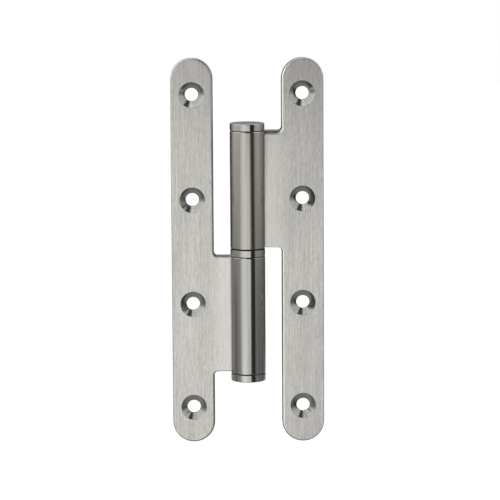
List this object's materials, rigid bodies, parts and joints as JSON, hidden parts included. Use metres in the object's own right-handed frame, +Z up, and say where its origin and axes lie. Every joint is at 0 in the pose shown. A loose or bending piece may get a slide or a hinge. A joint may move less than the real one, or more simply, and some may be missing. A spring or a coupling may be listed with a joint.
{
  "type": "paumelle hinge",
  "caption": "Lift-off paumelle door hinge with round-ended countersunk leaves, rolled knuckle, ring and end caps, shown open flat.",
  "frame": {"origin": "on the pin's axis at the leaves' mid-height, which is the centre of the hinge's box when it lies open flat", "axes": "+Z up the pin, the way the door leaf lifts off; +X from the pin towards the door leaf; -Y out of the countersunk faces; +Y towards the wood that the leaves are let into"},
  "size_m": [0.055, 0.0124, 0.14],
  "materials": {
    "satin_leaf": "satin, brushed lengthwise",
    "ground_pin": "ground",
    "turned_ring": "turned and polished",
    "turned_cap": "turned and polished"
  },
  "bodies": {
    "frame_side": {"frame_leaf": "satin_leaf", "hinge_pin": "ground_pin", "bottom_cap": "turned_cap"},
    "loose_ring": {"thrust_ring": "turned_ring"},
    "door_side": {"door_leaf": "satin_leaf", "top_cap": "turned_cap"}
  },
  "joints": [
    {"name": "lift_off", "type": "slide", "parent": "frame_side", "child": "loose_ring", "axis": [0, 0, 1], "range_m": [0, 0.043]},
    {"name": "door_swing", "type": "hinge", "parent": "loose_ring", "child": "door_side", "pos_m": [0, 0, 0], "axis": [0, 0, 1], "range_deg": [-180, 135]}
  ]
}
